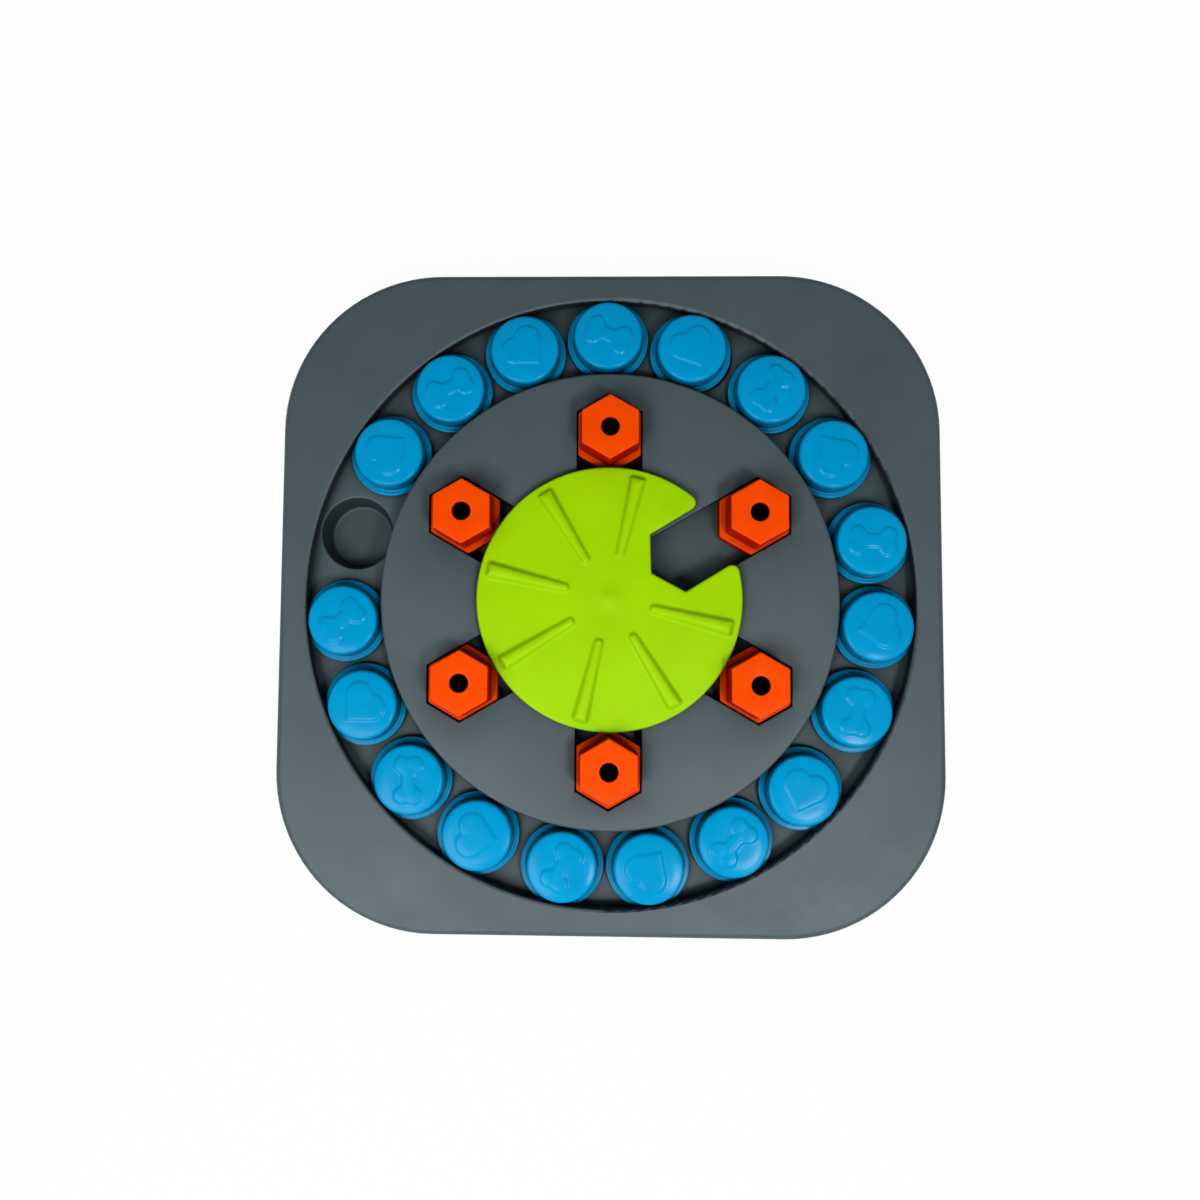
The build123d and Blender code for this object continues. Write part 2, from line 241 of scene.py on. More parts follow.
def loopDistance(x, y, loop):
    nearest = np.full(len(x), 1e9)
    for (ax, ay), (bx, by) in zip(loop, loop[1:] + loop[:1]):
        dx, dy = bx - ax, by - ay
        share = np.clip(((x - ax) * dx + (y - ay) * dy) / (dx * dx + dy * dy), 0, 1)
        nearest = np.minimum(nearest, np.hypot(x - ax - share * dx, y - ay - share * dy))
    return nearest


def softMin(a, b, blend):
    share = np.clip(0.5 + 0.5 * (b - a) / blend, 0, 1)
    return b + (a - b) * share - blend * share * (1 - share)


def level(z):
    return lambda x, y: np.full(len(x), z)


def grid(reach, spacing):
    rows = int(reach / (spacing * math.sqrt(0.75))) + 1
    columns = int(reach / spacing) + 1
    return [
        (spacing * (i + 0.5 * (j % 2)), spacing * math.sqrt(0.75) * j)
        for j in range(-rows, rows + 1)
        for i in range(-columns, columns + 1)
    ]


# Painted shade: the colour darkens in recesses where little light gets in, and on upright walls.
recess = {
    "reachMm": 30,
    "open": 0.9,              # share of open sky above which nothing changes
    "shade": 0.08,            # what is left of the colour where no light gets in
    "samples": 6,
    "wallSlopes": (0.3, 0.8),     # upward part of the normal where a wall turns into a top
    "noiseSpan": (0.3, 0.7),      # the part of a noise that is stretched to the full range
}


def mouldedPlastic(name, look):
    # Injection moulded plastic: one colour all through, with a faint cloudiness from flow,
    # a mould texture as bump, and roughness that wanders where it was handled,
    # and with painted shade that darkens upright walls and recesses.
    # "specular" lies below the plastic's own value, and far below it on the bright colours,
    # so that the room's light doesn't wash them out.
    material, tree = newMaterial(name)
    where = addNode(tree, "ShaderNodeTexCoord").outputs["Object"]
    noiseLow, noiseHigh = recess["noiseSpan"]
    wallEnd, topStart = recess["wallSlopes"]
    cloud = addNode(
        tree, "ShaderNodeTexNoise",
        values={"Scale": 1 / (look["cloudMm"] * mm), "Detail": 3.0, "Roughness": 0.55},
        links={"Vector": where},
    )
    spread = addNode(
        tree, "ShaderNodeMapRange",
        values={"From Min": noiseLow, "From Max": noiseHigh},
        links={"Value": cloud.outputs["Fac"]},
    )
    colour = addNode(
        tree, "ShaderNodeMix", settings={"data_type": "RGBA"},
        links={"Factor": spread.outputs["Result"]},
    )
    colour.inputs["A"].default_value = toLinear(look["dark"])
    colour.inputs["B"].default_value = toLinear(look["light"])
    # painted shade: upright walls are given a deeper tone than the tops, since less light falls on them
    facing = addNode(tree, "ShaderNodeNewGeometry").outputs["Normal"]
    upward = addNode(tree, "ShaderNodeSeparateXYZ", links={"Vector": facing}).outputs["Z"]
    tops = addNode(tree, "ShaderNodeMath", settings={"operation": "ABSOLUTE"})
    tree.links.new(upward, tops.inputs[0])
    topShare = addNode(
        tree, "ShaderNodeMapRange",
        values={"From Min": wallEnd, "From Max": topStart},
        links={"Value": tops.outputs["Value"]},
    )
    wallShaded = addNode(
        tree, "ShaderNodeMix", settings={"data_type": "RGBA"},
        links={"Factor": topShare.outputs["Result"]},
    )
    wallShaded.inputs["A"].default_value = toLinear(look["walls"])
    tree.links.new(colour.outputs["Result"], wallShaded.inputs["B"])
    # and painted shade deepens the colour where the surface is shut in, as in a lane or a cup, where
    # little light gets in
    shutIn = addNode(
        tree, "ShaderNodeAmbientOcclusion", settings={"samples": recess["samples"]},
        values={"Distance": recess["reachMm"] * mm},
    )
    deepening = addNode(
        tree, "ShaderNodeMapRange",
        values={"From Min": 0.0, "From Max": recess["open"], "To Min": recess["shade"], "To Max": 1.0},
        links={"Value": shutIn.outputs["AO"]},
    )
    recessShaded = addNode(
        tree, "ShaderNodeMix", settings={"data_type": "RGBA", "blend_type": "MULTIPLY"},
        values={"Factor": 1.0},
    )
    tree.links.new(wallShaded.outputs["Result"], recessShaded.inputs["A"])
    tree.links.new(deepening.outputs["Result"], recessShaded.inputs["B"])
    rough = addNode(
        tree, "ShaderNodeMapRange",
        values={
            "From Min": noiseLow, "From Max": noiseHigh,
            "To Min": look["roughness"][0], "To Max": look["roughness"][1],
        },
        links={"Value": addNode(
            tree, "ShaderNodeTexNoise",
            values={"Scale": 1 / (look["handlingMm"] * mm), "Detail": 4.0, "Roughness": 0.6},
            links={"Vector": where},
        ).outputs["Fac"]},
    )
    grain = addNode(
        tree, "ShaderNodeTexNoise",
        values={"Scale": 1 / (look["grainMm"] * mm), "Detail": 2.0, "Roughness": 0.6},
        links={"Vector": where},
    )
    ripple = addNode(
        tree, "ShaderNodeTexNoise",
        values={"Scale": 1 / (look["rippleMm"] * mm), "Detail": 1.0, "Roughness": 0.4},
        links={"Vector": where},
    )
    wavy = addNode(
        tree, "ShaderNodeBump",
        values={"Strength": 1.0, "Distance": look["rippleDepthMm"] * mm},
        links={"Height": ripple.outputs["Fac"]},
    )
    fine = addNode(
        tree, "ShaderNodeBump",
        values={"Strength": 1.0, "Distance": look["grainDepthMm"] * mm},
        links={"Height": grain.outputs["Fac"], "Normal": wavy.outputs["Normal"]},
    )
    shader = addNode(
        tree, "ShaderNodeBsdfPrincipled",
        values={"IOR": look["ior"], "Specular IOR Level": look["specular"]},
        links={
            "Base Color": recessShaded.outputs["Result"],
            "Roughness": rough.outputs["Result"],
            "Normal": fine.outputs["Normal"],
        },
    )
    addNode(tree, "ShaderNodeOutputMaterial", links={"Surface": shader.outputs["BSDF"]})
    return material


# In each look, "walls" is the painted shade colour given to upright walls.
# ABS from a spark-eroded mould: matt slate grey whose fine grain scatters the light evenly.
# Such a grain is typically about 0.2 mm wide. It is drawn coarser, so that it shows.
slateAbs = mouldedPlastic("sparkErodedSlateAbs", {
    "dark": "#435358", "light": "#495A5F", "walls": "#232D30",
    "cloudMm": 40, "handlingMm": 18,
    "grainMm": 0.45, "grainDepthMm": 0.035,
    "rippleMm": 9, "rippleDepthMm": 0.01,
    "roughness": (0.46, 0.54), "ior": 1.53, "specular": 0.4,
})
# The tray is a second moulding of the same plastic, a little lighter than the shell.
trayAbs = mouldedPlastic("sparkErodedGreyAbs", {
    "dark": "#48595D", "light": "#4F6064", "walls": "#323D41",
    "cloudMm": 30, "handlingMm": 14,
    "grainMm": 0.45, "grainDepthMm": 0.035,
    "rippleMm": 9, "rippleDepthMm": 0.01,
    "roughness": (0.48, 0.58), "ior": 1.53, "specular": 0.3,
})
# ABS from a polished mould: smooth blue with small, slightly wavy highlights.
blueAbs = mouldedPlastic("polishedBlueAbs", {
    "dark": "#0097CE", "light": "#009DD6", "walls": "#0080B6",
    "cloudMm": 12, "handlingMm": 6,
    "grainMm": 0.8, "grainDepthMm": 0.0015,
    "rippleMm": 5, "rippleDepthMm": 0.012,
    "roughness": (0.17, 0.22), "ior": 1.53, "specular": 0.075,
})
# Satin ABS, orange: the top scatters like vapour-blasted tooling leaves it.
orangeAbs = mouldedPlastic("satinOrangeAbs", {
    "dark": "#FC4A00", "light": "#FF5000", "walls": "#D21400",
    "cloudMm": 10, "handlingMm": 5,
    "grainMm": 0.4, "grainDepthMm": 0.006,
    "rippleMm": 6, "rippleDepthMm": 0.01,
    "roughness": (0.30, 0.38), "ior": 1.53, "specular": 0.05,
})
# Satin ABS, lime: evenly soft, so that only the ribs' shading shows.
limeAbs = mouldedPlastic("satinLimeAbs", {
    "dark": "#A0D800", "light": "#A8E100", "walls": "#8FC800",
    "cloudMm": 25, "handlingMm": 10,
    "grainMm": 0.4, "grainDepthMm": 0.006,
    "rippleMm": 12, "rippleDepthMm": 0.015,
    "roughness": (0.34, 0.44), "ior": 1.53, "specular": 0.06,
})
# Thermoplastic rubber for the feet: near black, dull, slightly dusty.
footRubber = mouldedPlastic("mouldedRubber", {
    "dark": "#1B1C1D", "light": "#262728", "walls": "#18191A",
    "cloudMm": 3, "handlingMm": 4,
    "grainMm": 0.3, "grainDepthMm": 0.02,
    "rippleMm": 2, "rippleDepthMm": 0.02,
    "roughness": (0.72, 0.9), "ior": 1.52, "specular": 0.3,
})


def zincPlated(name, look):
    # Zinc plated steel: bright grey metal, a little blotchy where the passivation varies.
    material, tree = newMaterial(name)
    where = addNode(tree, "ShaderNodeTexCoord").outputs["Object"]
    blotch = addNode(
        tree, "ShaderNodeTexNoise",
        values={"Scale": 1 / (look["blotchMm"] * mm), "Detail": 4.0, "Roughness": 0.6},
        links={"Vector": where},
    )
    colour = addNode(
        tree, "ShaderNodeMix", settings={"data_type": "RGBA"},
        links={"Factor": blotch.outputs["Fac"]},
    )
    colour.inputs["A"].default_value = toLinear(look["dark"])
    colour.inputs["B"].default_value = toLinear(look["light"])
    rough = addNode(
        tree, "ShaderNodeMapRange",
        values={"To Min": look["roughness"][0], "To Max": look["roughness"][1]},
        links={"Value": blotch.outputs["Fac"]},
    )
    bump = addNode(
        tree, "ShaderNodeBump",
        values={"Strength": 1.0, "Distance": look["grainDepthMm"] * mm},
        links={"Height": addNode(
            tree, "ShaderNodeTexNoise",
            values={"Scale": 1 / (look["grainMm"] * mm), "Detail": 2.0},
            links={"Vector": where},
        ).outputs["Fac"]},
    )
    shader = addNode(
        tree, "ShaderNodeBsdfPrincipled",
        values={"Metallic": 1.0},
        links={
            "Base Color": colour.outputs["Result"],
            "Roughness": rough.outputs["Result"],
            "Normal": bump.outputs["Normal"],
        },
    )
    addNode(tree, "ShaderNodeOutputMaterial", links={"Surface": shader.outputs["BSDF"]})
    return material


screwSteel = zincPlated("zincPlatedSteel", {
    "dark": "#8E9194", "light": "#B9BCBE",
    "blotchMm": 1.5, "grainMm": 0.15, "grainDepthMm": 0.004,
    "roughness": (0.25, 0.45),
})
print("materials made")


slider = {
    "flangeThickness": 3.2,
    "flangeEdge": 0.8,
    "capRadius": 15.9,        # at the flange
    "capDraft": 0.45,
    "capEdge": 2.0,
    "capHeight": 8.5,
    "ledgeFillet": 0.6,
    "crown": 0.5,             # the cap's rim lies this far below its middle
    "crownPower": 6,          # high, so that the middle stays flat and the edge falls away
    "wall": 1.8,
    "reliefRise": 0.6,
    "reliefSoft": 1.6,        # width of the sloping edge
    "reliefPillow": 0.1,      # the relief swells this much towards its middle
    "underEdge": 0.3,
    "hollowEdge": (1.0, 0.3),     # two steps round the hollow's inner corner
    "capEdgeTurn": 78,            # degrees of the cap's edge before the crown takes over
    "pillowReach": 3.0,
    "segments": 168,
    "flangeSteps": 5,
    "filletSteps": 4,
    "capSteps": 9,
    "ringStep": 0.42,
}
bone = {"length": 20.5, "shaft": 5.6, "knob": 3.6, "knobOffset": 2.6, "blend": 1.6}
heart = {"lobe": 5.6, "shift": 1.4, "blend": 0.8}
reliefTurn = (
    40, 28, -45, -22, -65, 55, 125, -3, 190,
    80, 250, 50, 55, 60, -10, 89, 225, 40,
)


def rectangleDistance(x, y, halfX, halfY):
    dx, dy = np.abs(x) - halfX, np.abs(y) - halfY
    return np.hypot(np.maximum(dx, 0), np.maximum(dy, 0)) + np.minimum(np.maximum(dx, dy), 0)


def boneDistance(x, y):
    reach = bone["length"] / 2 - bone["knob"]
    near = rectangleDistance(x, y, reach, bone["shaft"] / 2)
    for knobX in (-reach, reach):
        for knobY in (-bone["knobOffset"], bone["knobOffset"]):
            near = softMin(near, np.hypot(x - knobX, y - knobY) - bone["knob"], bone["blend"])
    return near


def heartDistance(x, y):
    side = heart["lobe"]
    middle = side / math.sqrt(2)
    x = x - heart["shift"]
    u, v = (x + y) / math.sqrt(2), (y - x) / math.sqrt(2)
    near = rectangleDistance(u, v, side, side)
    for lobeY in (-middle, middle):
        near = softMin(near, np.hypot(x + middle, y - lobeY) - side, heart["blend"])
    return near


def sliderShell(distance, low, flangeRadius):
    look = slider
    flangeTop = low + look["flangeThickness"]
    top = flangeTop + look["capHeight"]
    rimTop = top - look["crown"]
    ceiling = top - look["wall"]
    hollow = look["capRadius"] - look["capDraft"] - look["wall"]
    edge, fillet = look["flangeEdge"], look["ledgeFillet"]
    capTop = look["capRadius"] - look["capDraft"]
    far, near = look["hollowEdge"]
    profile = [(0, ceiling), (hollow - far, ceiling)]
    profile += [(hollow - near, ceiling - near), (hollow, ceiling - far)]
    under = look["underEdge"]
    profile += [(hollow, low), (flangeRadius - under, low), (flangeRadius, low + under)]
    profile += arc((flangeRadius - edge, flangeTop - edge), edge, 0, 90, look["flangeSteps"])
    root = (look["capRadius"] + fillet, flangeTop + fillet)
    profile += arc(root, fillet, 270, 180, look["filletSteps"])
    flat = capTop - look["capEdge"]
    shoulder = (flat, rimTop - look["capEdge"])
    profile += arc(shoulder, look["capEdge"], 0, look["capEdgeTurn"], look["capSteps"])
    shell = newShell()
    rings = turned(profile, look["segments"])
    count = int(flat / look["ringStep"])
    for k in range(count):
        radius = flat * (1 - k / count)
        spots = np.array(circle(radius, look["segments"]))
        x, y = spots[:, 0], spots[:, 1]
        near = distance(x, y)
        rise = np.clip(0.5 - near / look["reliefSoft"], 0, 1)
        z = rimTop + look["crown"] * (1 - (radius / flat) ** look["crownPower"])
        z = z + look["reliefRise"] * rise * rise * (3 - 2 * rise)
        z = z + look["reliefPillow"] * np.clip(-near / look["pillowReach"], 0, 1)
        rings.append([(float(a), float(b), float(c)) for a, b, c in zip(x, y, z)])
    middle = sum(p[2] for p in rings[-1]) / len(rings[-1])
    rings.append([(0.0, 0.0, middle)])
    addLoft(shell, rings)
    return shell


def makeSliders():
    low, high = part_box("slider_01_heart")
    flangeRadius = (high.x - low.x) / 2 / mm
    shells = {
        "heart": sliderShell(heartDistance, low.z / mm, flangeRadius),
        "bone": sliderShell(boneDistance, low.z / mm, flangeRadius),
    }
    for i, turn in enumerate(reliefTurn):
        kind = "heart" if i % 2 == 0 else "bone"
        node = f"slider_{i + 1:02d}_{kind}"
        low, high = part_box(node)
        place = Matrix.Translation(((low.x + high.x) / 2 / mm, (low.y + high.y) / 2 / mm, 0))
        place = place @ Matrix.Rotation(math.radians(turn), 4, "Z")
        piece = finishPiece(f"{kind}_slider_{i + 1:02d}", shells[kind], blueAbs, place)
        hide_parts(node)
        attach(piece, f"slider_{i + 1:02d}")


makeSliders()
print("sliders made")


block = {
    "across": 24.9,
    "draft": 0.35,            # the walls lean out by this much down to the step
    "cornerRadius": 1.1,
    "topEdge": 0.8,
    "stepAcross": 28.3,
    "stepBelowTop": 14.9,     # from the block's top down to its step
    "stepEdge": 0.5,
    "stretch": 1.5,           # the foot's two ends stand out this much further
    "wall": 2.2,
    "hole": 8.0,
    "holeEdge": 0.5,
    "tabLength": 12.0,
    "tabWidth": 2.6,
    "tabHeight": 3.2,
    "tabEdge": 0.3,
    "cornerSteps": 5,
    "stepSteps": 4,
    "topSteps": 6,
    "holeSteps": 4,
    "innerCorner": 0.6,
    "footCorner": 0.4,        # the foot's corners are rounder than the top's by this much
    "stepRoot": (0.5, 0.2, 0.25),     # width, corner and height of the fillet over the step
}


def hexagonRing(across, cornerRadius, z, tabs=0.0, stretch=0.0):
    # six rounded corners, the first on the X axis, with matching points along every flat
    spots = []
    shifts = [stretch, stretch, -stretch, -stretch, -stretch, stretch]
    half = block["tabLength"] / 2
    along = [half, half, 0.75 * half, 0.5 * half, 0.25 * half, 0]
    along += [-a for a in reversed(along[:-1])]
    for k in range(6):
        turn = math.radians(60 * k)
        reach = (across / 2 - cornerRadius) / math.cos(math.radians(30))
        middle = (reach * math.cos(turn), reach * math.sin(turn))
        corner = arc(middle, cornerRadius, 60 * k - 30, 60 * k + 30, block["cornerSteps"])
        spots += [(x + shifts[k], y) for x, y in corner]
        out = math.radians(60 * k + 30)
        for place, a in enumerate(along):
            moved = tabs if k in (1, 4) and 0 < place < len(along) - 1 else 0.0
            distance = across / 2 + moved
            shift = 0.0 if k in (1, 4) else shifts[k]
            spots.append((
                distance * math.cos(out) + a * math.sin(out) + shift,
                distance * math.sin(out) - a * math.cos(out),
            ))
    return [(x, y, z) for x, y in spots]


def sameTurns(ring, radius, z):
    # a circle with a point in the direction of each point of another ring
    return [(radius * x / math.hypot(x, y), radius * y / math.hypot(x, y), z) for x, y, _ in ring]


def blockShell(low, top):
    look = block
    stepTop = top - look["stepBelowTop"]
    tabTop = low + look["tabHeight"]
    across, step, corner = look["across"], look["stepAcross"], look["cornerRadius"]
    hole = look["hole"] / 2
    ceiling = top - look["wall"]
    guide = hexagonRing(across, corner, top)
    inner = across - 2 * look["wall"]
    rings = [sameTurns(guide, hole, ceiling)]
    rings += [hexagonRing(inner, look["innerCorner"], z) for z in (ceiling, low)]
    foot, long = corner + look["footCorner"], look["stretch"]
    tab, tabEdge = look["tabWidth"], look["tabEdge"]
    rings += [hexagonRing(step, foot, low, 0.0, long)]
    rings += [hexagonRing(step, foot, low, tab, long)]
    rings += [hexagonRing(step, foot, tabTop - tabEdge, tab, long)]
    rings += [hexagonRing(step, foot, tabTop, tab - tabEdge, long)]
    rings += [hexagonRing(step, foot, tabTop, 0.0, long)]
    edge = look["stepEdge"]
    for out, up in arc((0, 0), edge, 0, 90, look["stepSteps"]):
        width = step - 2 * edge + 2 * out
        rings.append(hexagonRing(width, foot - edge + out, stepTop - edge + up, 0.0, long))
    rootWidth, rootCorner, rootHeight = look["stepRoot"]
    leaning = across + 2 * look["draft"]
    rings += [hexagonRing(leaning + rootWidth, corner + rootCorner, stepTop)]
    rings += [hexagonRing(leaning, corner, stepTop + rootHeight)]
    edge = look["topEdge"]
    for out, up in arc((0, 0), edge, 0, 90, look["topSteps"]):
        width = across - 2 * edge + 2 * out
        rings.append(hexagonRing(width, corner - edge + out, top - edge + up))
    edge = look["holeEdge"]
    for out, up in arc((0, 0), edge, 90, 180, look["holeSteps"]):
        rings.append(sameTurns(guide, hole + edge + out, top - edge + up))
    rings.append(sameTurns(guide, hole, ceiling))
    shell = newShell()
    addLoft(shell, rings)
    return shell


def makeBlocks():
    low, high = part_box("hex_block_1")
    shell = blockShell(low.z / mm, high.z / mm)
    for i in range(6):
        node = f"hex_block_{i + 1}"
        low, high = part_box(node)
        place = Matrix.Translation(((low.x + high.x) / 2 / mm, (low.y + high.y) / 2 / mm, 0))
        place = place @ Matrix.Rotation(math.radians(30 - 60 * i), 4, "Z")
        piece = finishPiece(f"sliding_block_{i + 1}", shell, orangeAbs, place)
        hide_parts(node)
        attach(piece, node)


makeBlocks()
print("blocks made")


spinner = {
    "crown": 2.2,             # rise from the rim to the middle
    "buttonRoom": 1.7,        # from the crown's middle to the top of the moulding's box
    "rim": 3.2,               # height of the rim
    "skin": 2.6,
    "edge": 1.2,
    "turn": 31.7,             # direction of the notch, degrees from +X
    "notchEnd": 21.6,
    "notchWidth": 29.4,
    "notchTip": 3.4,
    "notchCorner": 0.9,
    "button": ((9.5, 0.7), (4.4, 0.35)),   # radius and rise of two soft swellings over the pivot
    "ribs": 8,                # places; the notch takes the first
    "ribInner": 20.0,
    "ribOuter": 51.6,
    "ribInnerWidth": 1.6,
    "ribOuterWidth": 5.4,
    "ribCorner": 0.7,
    "ribInnerRise": 1.5,      # above the crown beside it
    "ribOuterRise": 2.5,
    "ribFlank": 1.7,          # how far a rib's sides run out past its outline
    "tipSteps": 12,
    "rimSteps": 330,
    "edgeSteps": 6,
    "hubSegments": 96,
    "ribLoops": (-0.7, -0.3, 0.2, 0.7, 1.2, 1.7, 2.3),    # mesh loops round a rib's outline
    "ribClear": 3.0,          # no loose mesh points nearer to a rib than this
    "ridgeStep": 0.8,
    "meshStep": 1.7,
    "middleRings": 12,        # rings of mesh points over the pivot, 1 mm apart
    "rimEdge": 0.3,
    "innerEdge": 0.2,
    "hub": 9.0,
    "collar": 13.5,
    "bearingGap": 0.2,
    "bore": 1.5,
    "boreDepth": 9.4,
    "ends": 0.01,             # corner radius that stands for a sharp corner
}


def notchedOutline(look, radius):
    half, tip = look["notchWidth"] / 2, look["notchTip"]
    shoulder = look["notchEnd"] + half * math.tan(math.radians(30))
    tipX = math.sqrt((radius - tip) ** 2 - (half + tip) ** 2)
    tipTurn = math.degrees(math.atan2(half + tip, tipX))
    loop = arc((tipX, half + tip), tip, -90, tipTurn, look["tipSteps"])
    loop += arc((0, 0), radius, tipTurn, 360 - tipTurn, look["rimSteps"])[1:-1]
    loop += arc((tipX, -half - tip), tip, 360 - tipTurn, 450, look["tipSteps"])
    notch = [(tipX, -half), (shoulder, -half), (look["notchEnd"], 0), (shoulder, half), (tipX, half)]
    inner = roundedLoop(notch, [look["ends"]] + [look["notchCorner"]] * 3 + [look["ends"]], 1.0)
    first = min(range(len(inner)), key=lambda i: math.dist(inner[i], notch[0]))
    inner = inner[first:] + inner[:first]
    last = min(range(len(inner)), key=lambda i: math.dist(inner[i], notch[-1]))
    return loop + [p for p in inner[:last] if p[0] < tipX - 0.5]


def ribDistance(x, y, look):
    # distance from a tapered rib with rounded corners, and half its width at that place
    wide, narrow, corner = look["ribOuterWidth"] / 2, look["ribInnerWidth"] / 2, look["ribCorner"]
    length = look["ribOuter"] - look["ribInner"] + wide + narrow
    slope = (wide - narrow) / length
    u = x - look["ribInner"] + narrow
    half = narrow + slope * np.clip(u, 0, length)
    past = np.maximum(-u, u - length) + corner
    beside = (np.abs(y) - half) * math.sqrt(1 - slope * slope) + corner
    near = np.hypot(np.maximum(past, 0), np.maximum(beside, 0))
    near = near + np.minimum(np.maximum(past, beside), 0)
    return near - corner, half


def ribLoop(look, out):
    wide, narrow = look["ribOuterWidth"] / 2, look["ribInnerWidth"] / 2
    inner, outer = look["ribInner"] - narrow, look["ribOuter"] + wide
    corners = [(inner, narrow), (inner, -narrow), (outer, -wide), (outer, wide)]
    return inwards(roundedLoop(corners, [look["ribCorner"]] * 4, 0.7), -out)


def makeSpinner():
    look = spinner
    low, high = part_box("spinner")
    radius = -low.x / mm
    hubBottom = low.z / mm
    crownTop = high.z / mm - look["buttonRoom"]
    rimTop = crownTop - look["crown"]
    rimBottom = rimTop - look["rim"]
    ceiling = rimTop - look["skin"] / 2
    turns = [i * 360 / look["ribs"] for i in range(1, look["ribs"])]

    def surface(x, y):
        r = np.hypot(x, y)
        crown = crownTop - look["crown"] * (r / radius) ** 2
        z = crown
        for reach, rise in look["button"]:
            z = z + rise * np.cos(np.clip(r / reach, 0, 1) * math.pi / 2) ** 2
        for degrees in turns:
            c, s = math.cos(math.radians(degrees)), math.sin(math.radians(degrees))
            near, half = ribDistance(x * c + y * s, y * c - x * s, look)
            share = np.clip((r - look["ribInner"]) / (look["ribOuter"] - look["ribInner"]), 0, 1)
            rise = look["ribInnerRise"] + (look["ribOuterRise"] - look["ribInnerRise"]) * share
            aside = np.clip((near + half) / (half + look["ribFlank"]), 0, 1)
            z = z + rise * (1 - aside ** 3) ** 2
        return z

    outline = notchedOutline(look, radius)
    edge = look["edge"]
    topLoop = inwards(outline, edge)
    spots = np.array(topLoop)
    heights = surface(spots[:, 0], spots[:, 1])
    rings = []
    underLoop = inwards(outline, look["skin"])
    innerEdge, rimEdge = look["innerEdge"], look["rimEdge"]
    rings += [lifted(underLoop, ceiling), lifted(underLoop, rimBottom + innerEdge)]
    rings += [lifted(inwards(outline, look["skin"] - innerEdge), rimBottom)]
    rings += [lifted(inwards(outline, rimEdge), rimBottom), lifted(outline, rimBottom + rimEdge)]
    for out, up in arc((0, 0), edge, 0, 90, look["edgeSteps"]):
        loop = inwards(outline, edge - out)
        rings.append([(x, y, float(z) - edge + up) for (x, y), z in zip(loop, heights)])
    shell = newShell()
    addLoft(shell, rings)

    spare = []
    for degrees in turns:
        for out in look["ribLoops"]:
            spare += turnedLoop(ribLoop(look, out), degrees)
        count = int((look["ribOuter"] - look["ribInner"]) / look["ridgeStep"])
        step = (look["ribOuter"] - look["ribInner"]) / count
        spare += turnedLoop([(look["ribInner"] + step * k, 0) for k in range(count + 1)], degrees)
    for k in range(1, look["middleRings"]):
        spare += circle(k, look["middleRings"] + 6 * k)
    spare.append((0, 0))
    field = np.array(grid(radius, look["meshStep"]))
    x, y = field[:, 0], field[:, 1]
    free = insideLoop(x, y, topLoop) & (loopDistance(x, y, topLoop) > 0.9)
    free &= np.hypot(x, y) > look["middleRings"]
    for degrees in turns:
        c, s = math.cos(math.radians(degrees)), math.sin(math.radians(degrees))
        free &= ribDistance(x * c + y * s, y * c - x * s, look)[0] > look["ribClear"]
    spare += [tuple(map(float, p)) for p in field[free]]
    addSheet(shell, [topLoop], surface, lambda x, y: insideLoop(x, y, topLoop), spare)

    collarLoop = circle(look["collar"], look["hubSegments"])
    addSheet(
        shell, [underLoop, collarLoop], level(ceiling),
        lambda x, y: insideLoop(x, y, underLoop) & ~insideLoop(x, y, collarLoop),
    )
    low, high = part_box("centre_platform")
    bearing = high.z / mm + look["bearingGap"]
    bore, boreTop = look["bore"], hubBottom + look["boreDepth"]
    addLoft(shell, turned([
        (look["collar"], ceiling), (look["collar"], bearing), (look["hub"], bearing),
        (look["hub"], hubBottom + rimEdge), (look["hub"] - rimEdge, hubBottom),
        (bore, hubBottom), (bore, boreTop), (0, boreTop),
    ], look["hubSegments"]))
    place = Matrix.Rotation(math.radians(look["turn"]), 4, "Z")
    piece = finishPiece("notched_spinner", shell, limeAbs, place)
    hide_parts("spinner")
    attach(piece, "spinner")


makeSpinner()
print("spinner made")


tray = {
    "cups": 19,
    "emptyCup": 165.3,        # direction of the cup that lies open, degrees
    "sit": 0.3,               # air under a slider's flange
    "side": 0.4,              # air beside it
    "cupCover": 2.0,          # a flange reaches this far past the cup mouth
    "mouthEdge": 1.0,
    "taper": 2.6,
    "depth": 11.2,
    "bottomEdge": 1.6,
    "cupWall": 1.8,
    "plate": 2.2,
    "guideEdge": 0.3,
    "rimSlack": 0.02,         # a face this near to a cup's rim still counts as outside it
    "edgeSteps": 7,
    "guideSteps": 3,
    "cupSegments": 96,
    "ringSegments": 380,
}


def boxMiddle(node):
    low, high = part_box(node)
    return (low + high) / 2 / mm


